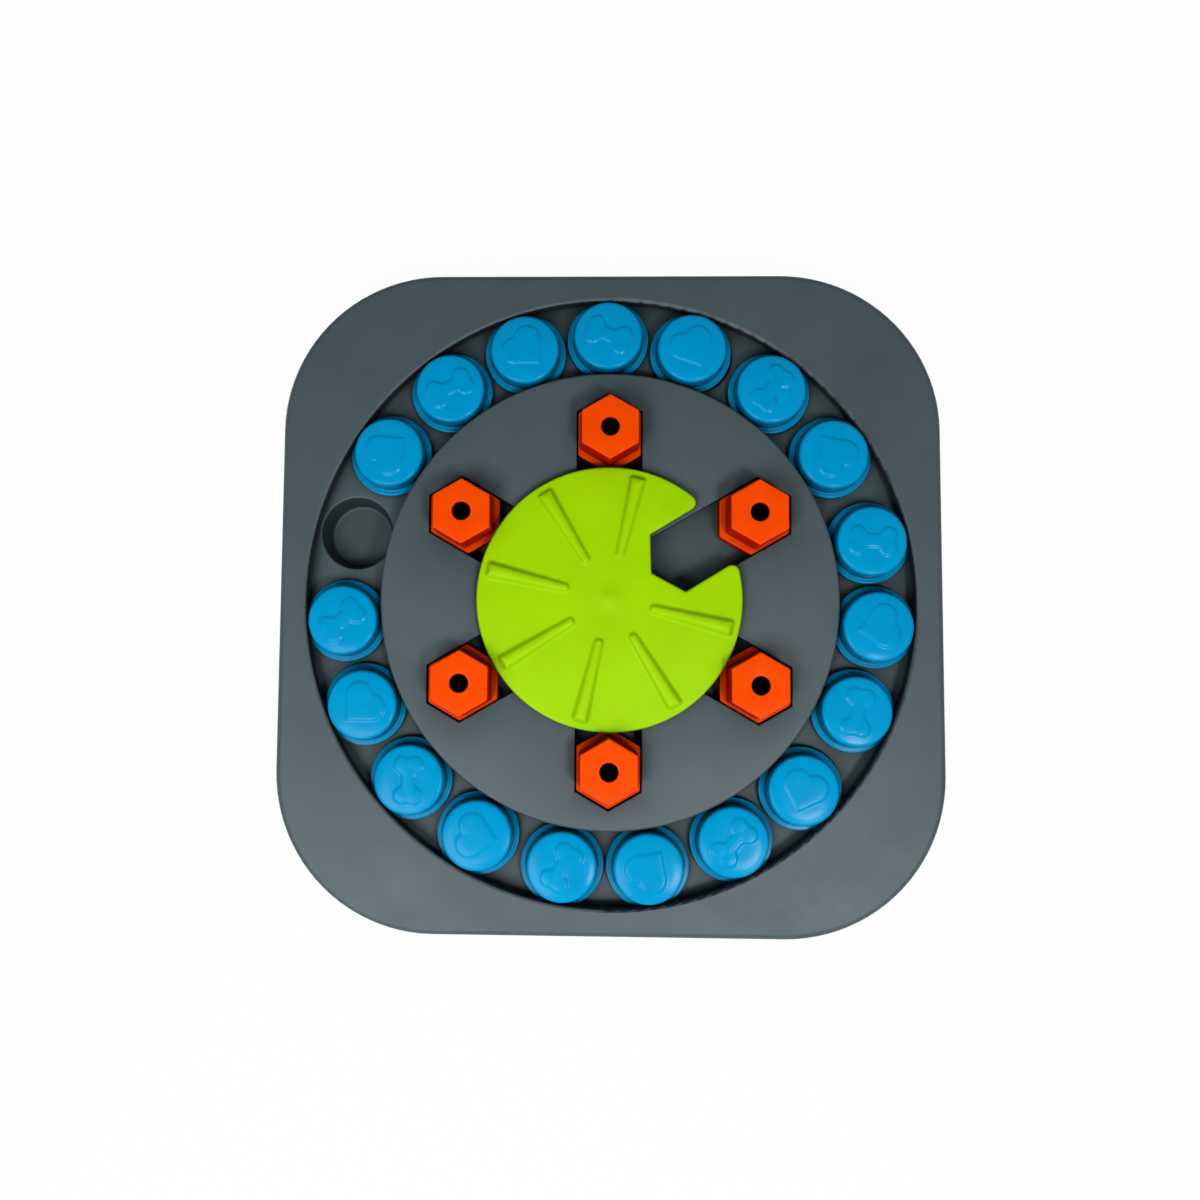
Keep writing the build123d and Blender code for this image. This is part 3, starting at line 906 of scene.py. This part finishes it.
def makeRingTray():
    look = tray
    low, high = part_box("ring_tray")
    outer, coverTop, guideTop = high.x / mm, low.z / mm, high.z / mm
    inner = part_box("centre_tray")[1].x / mm
    low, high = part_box("slider_01_heart")
    flange = (high.x - low.x) / 2 / mm
    top = low.z / mm - look["sit"]
    ringRadius = boxMiddle("slider_01_heart").xy.length
    guide = ringRadius + flange + look["side"]
    under = top - look["plate"]
    mouth = flange - look["cupCover"]
    bottom = top - look["depth"]
    lean = math.degrees(math.atan(look["taper"] / look["depth"]))
    reach = 1 / math.tan(math.radians(45 + lean / 2))
    edge, fillet = look["mouthEdge"], look["bottomEdge"]
    steps = look["edgeSteps"]
    cup = arc((mouth + edge * reach, top - edge), edge, 90, 180 - lean, steps)
    foot = (mouth - look["taper"] - fillet * reach, bottom + fillet)
    cup += arc(foot, fillet, -lean, -90, steps)
    cup += [(0, bottom)]
    outside = [(mouth + look["cupWall"], under)]
    outside += [(mouth - look["taper"] + look["cupWall"], coverTop), (0, coverTop)]

    shell = newShell()
    places = []
    for i in range(look["cups"]):
        turn = math.radians(look["emptyCup"] + i * 360 / look["cups"])
        places.append((ringRadius * math.cos(turn), ringRadius * math.sin(turn)))
        addLoft(shell, turned(cup, look["cupSegments"], places[-1]))
        addLoft(shell, turned(outside, look["cupSegments"], places[-1]))

    def outsideCups(x, y, radius, low, high):
        r = np.hypot(x, y)
        free = (r > low) & (r < high)
        for cx, cy in places:
            free &= np.hypot(x - cx, y - cy) > radius - look["rimSlack"]
        return free

    for radius, z, far in ((cup[0][0], top, guide), (outside[0][0], under, outer)):
        loops = [circle(far, look["ringSegments"]), circle(inner, look["ringSegments"])]
        loops += [circle(radius, look["cupSegments"], place) for place in places]
        addSheet(shell, loops, level(z), lambda x, y, r=radius, f=far: outsideCups(x, y, r, inner, f))
    edge = look["guideEdge"]
    steps = look["guideSteps"]
    wall = [(guide, top)] + arc((guide + edge, guideTop - edge), edge, 180, 90, steps)
    wall += arc((outer - edge, guideTop - edge), edge, 90, 0, steps) + [(outer, under)]
    addLoft(shell, turned(wall, look["ringSegments"]))
    addLoft(shell, turned([(inner, top), (inner, under)], look["ringSegments"]))
    piece = finishPiece("ring_tray_moulding", shell, trayAbs)
    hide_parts("ring_tray")
    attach(piece, "board")


makeRingTray()
print("ring tray made")


platform = {
    "edge": 1.4,
    "laneEdge": 0.5,
    "laneCorner": 0.6,
    "laneWidth": 29.1,
    "laneInner": 35.68,       # where the inner and the outer end of a lane begin
    "laneOuter": 75.83,
    "bore": 9.1,
    "screwHole": 1.5,
    "screwDepth": 4.0,
    "segments": 320,
    "boreSegments": 96,
    "screwSegments": 24,
    "laneSteps": 4,
    "edgeSteps": 7,
    "laneSpacing": 3.0,       # between mesh points along a lane
}


def makePlatform():
    look = platform
    low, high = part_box("centre_platform")
    radius, bottom, top = high.x / mm, low.z / mm, high.z / mm
    half = look["laneWidth"] / 2
    tip = half / math.cos(math.radians(30))
    first, last = look["laneInner"], look["laneOuter"]
    corners = [
        (first - tip, 0), (first - tip / 2, -half), (last + tip / 2, -half),
        (last + tip, 0), (last + tip / 2, half), (first - tip / 2, half),
    ]
    lane = roundedLoop(corners, [look["laneCorner"]] * 6, look["laneSpacing"])
    turns = [30 - 60 * i for i in range(6)]
    shell = newShell()
    grown = inwards(lane, -look["laneEdge"])
    for degrees in turns:
        rings = []
        for out, up in arc((0, 0), look["laneEdge"], 90, 180, look["laneSteps"]):
            loop = inwards(lane, -look["laneEdge"] - out)
            rings.append(lifted(turnedLoop(loop, degrees), top - look["laneEdge"] + up))
        rings.append(lifted(turnedLoop(lane, degrees), bottom))
        addLoft(shell, rings)
    edge = look["edge"]
    rim = [(radius, bottom)]
    rim += arc((radius - edge, top - edge), edge, 0, 90, look["edgeSteps"])
    addLoft(shell, turned(rim, look["segments"]))
    edge = look["laneEdge"]
    bore = arc((look["bore"] + edge, top - edge), edge, 90, 180, look["laneSteps"])
    bore += [(look["bore"], bottom)]
    addLoft(shell, turned(bore, look["boreSegments"]))
    blockAt = boxMiddle("hex_block_1").xy.length
    holes = []
    for degrees in turns:
        turn = math.radians(degrees - 30)
        place = (blockAt * math.cos(turn), blockAt * math.sin(turn))
        holes.append(circle(look["screwHole"], look["screwSegments"], place))
        depth = bottom + look["screwDepth"]
        hole = [(look["screwHole"], bottom), (look["screwHole"], depth), (0, depth)]
        addLoft(shell, turned(hole, look["screwSegments"], place))

    def solid(x, y, outer, loops):
        free = np.hypot(x, y) < outer
        for loop in loops:
            free &= ~insideLoop(x, y, loop)
        return free

    upper = [turnedLoop(grown, degrees) for degrees in turns]
    upper += [circle(look["bore"] + edge, look["boreSegments"])]
    lower = [turnedLoop(lane, degrees) for degrees in turns]
    lower += [circle(look["bore"], look["boreSegments"])] + holes
    for loops, outer, z in ((upper, radius - look["edge"], top), (lower, radius, bottom)):
        addSheet(
            shell, [circle(outer, look["segments"])] + loops, level(z),
            lambda x, y, o=outer, l=loops: solid(x, y, o, l),
        )
    piece = finishPiece("platform_plate", shell, slateAbs)
    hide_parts("centre_platform")
    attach(piece, "board")


makePlatform()
print("platform made")


finishes = {
    "top_frame": slateAbs,
    "centre_tray": trayAbs,
    "bottom_cover": slateAbs,
    "rubber_feet": footRubber,
    "cover_screws": screwSteel,
    "platform_screws": screwSteel,
    "spinner_washer": screwSteel,
    "spinner_screw": screwSteel,
}
for name, material in finishes.items():
    for holder in cadNodes[name].material_slots:
        holder.material = material


studio = {
    "floorHalf": 4.0,
    "floorWhite": 0.97,       # share of the floor's white that doesn't take shadows
    "paper": 0.9,
    # light from the room, by height of direction
    "room": ((0.0, 0.02), (0.45, 0.1), (0.62, 0.2), (0.78, 0.42), (0.92, 0.03)),
    "keyPlace": (0.29, -0.35, 0.72), "keySize": 0.17, "keyPower": 2.8,
    "fillPlace": (-0.30, -0.40, 0.68), "fillSize": 0.4, "fillPower": 4.0,
}


def makeFloor():
    material, tree = newMaterial("studioPaper")
    path = addNode(tree, "ShaderNodeLightPath")
    seen = addNode(tree, "ShaderNodeMath", settings={"operation": "MAXIMUM"})
    tree.links.new(path.outputs["Is Camera Ray"], seen.inputs[0])
    tree.links.new(path.outputs["Is Glossy Ray"], seen.inputs[1])
    share = addNode(tree, "ShaderNodeMath", settings={"operation": "MULTIPLY"})
    tree.links.new(seen.outputs["Value"], share.inputs[0])
    share.inputs[1].default_value = studio["floorWhite"]
    paper = addNode(tree, "ShaderNodeBsdfDiffuse")
    paper.inputs["Color"].default_value = (studio["paper"], studio["paper"], studio["paper"], 1)
    white = addNode(tree, "ShaderNodeEmission", values={"Strength": 1.0})
    blend = addNode(tree, "ShaderNodeMixShader", links={"Fac": share.outputs["Value"]})
    tree.links.new(paper.outputs["BSDF"], blend.inputs[1])
    tree.links.new(white.outputs["Emission"], blend.inputs[2])
    addNode(tree, "ShaderNodeOutputMaterial", links={"Surface": blend.outputs["Shader"]})
    reach = studio["floorHalf"] / mm
    corners = [(-reach, -reach, 0), (reach, -reach, 0), (reach, reach, 0), (-reach, reach, 0)]
    mesh = bpy.data.meshes.new("studio_floor")
    mesh.from_pydata(corners, [], [(0, 1, 2, 3)])
    mesh.transform(Matrix.Scale(mm, 4))
    mesh.materials.append(material)
    floor = bpy.data.objects.new("studio_floor", mesh)
    bpy.context.scene.collection.objects.link(floor)


def makeWorld():
    world = bpy.data.worlds.new("studioRoom")
    bpy.context.scene.world = world
    world.use_nodes = True
    tree = world.node_tree
    tree.nodes.clear()
    path = addNode(tree, "ShaderNodeLightPath")
    turn = addNode(tree, "ShaderNodeTexCoord")
    height = addNode(tree, "ShaderNodeSeparateXYZ", links={"Vector": turn.outputs["Generated"]})
    walls = addNode(tree, "ShaderNodeValToRGB", links={"Fac": height.outputs["Z"]})
    stops = walls.color_ramp.elements
    for _ in studio["room"][2:]:
        stops.new(0.5)
    for stop, (place, glow) in zip(stops, studio["room"]):
        stop.position = place
        stop.color = (glow, glow, glow, 1)
    plain = addNode(tree, "ShaderNodeBackground", links={"Color": walls.outputs["Color"]})
    white = addNode(tree, "ShaderNodeBackground", values={"Strength": 1.0})
    white.inputs["Color"].default_value = (1, 1, 1, 1)
    blend = addNode(tree, "ShaderNodeMixShader", links={"Fac": path.outputs["Is Camera Ray"]})
    tree.links.new(plain.outputs["Background"], blend.inputs[1])
    tree.links.new(white.outputs["Background"], blend.inputs[2])
    addNode(tree, "ShaderNodeOutputWorld", links={"Surface": blend.outputs["Shader"]})


def addSoftbox(name, place, size, power):
    lamp = bpy.data.lights.new(name, "AREA")
    lamp.shape = "SQUARE"
    lamp.size = size
    lamp.energy = power
    holder = bpy.data.objects.new(name, lamp)
    holder.location = place
    holder.rotation_mode = "QUATERNION"
    holder.rotation_quaternion = (-Vector(place)).to_track_quat("-Z", "Y")
    bpy.context.scene.collection.objects.link(holder)


makeFloor()
makeWorld()
addSoftbox("keySoftbox", studio["keyPlace"], studio["keySize"], studio["keyPower"])
addSoftbox("fillSoftbox", studio["fillPlace"], studio["fillSize"], studio["fillPower"])

camera = {
    "place": (-10.8, -26.6, 455.5),
    "tilt": (3.62, 1.47, 0.443),  # degrees about X, Y and Z, from looking straight down
    "lens": 29.19,
    "sensor": 36.0,
    "shift": (0.0341, -0.0018),
    "clip": (0.01, 20.0),     # metres
}


def makeCamera():
    data = bpy.data.cameras.new("topCamera")
    data.lens = camera["lens"]
    data.sensor_width = camera["sensor"]
    data.shift_x, data.shift_y = camera["shift"]
    data.clip_start, data.clip_end = camera["clip"]
    holder = bpy.data.objects.new("topCamera", data)
    holder.location = Vector(camera["place"]) * mm
    holder.rotation_euler = [math.radians(turn) for turn in camera["tilt"]]
    bpy.context.scene.collection.objects.link(holder)
    bpy.context.scene.camera = holder


makeCamera()
bpy.context.scene.view_settings.view_transform = "Standard"
print("studio ready")
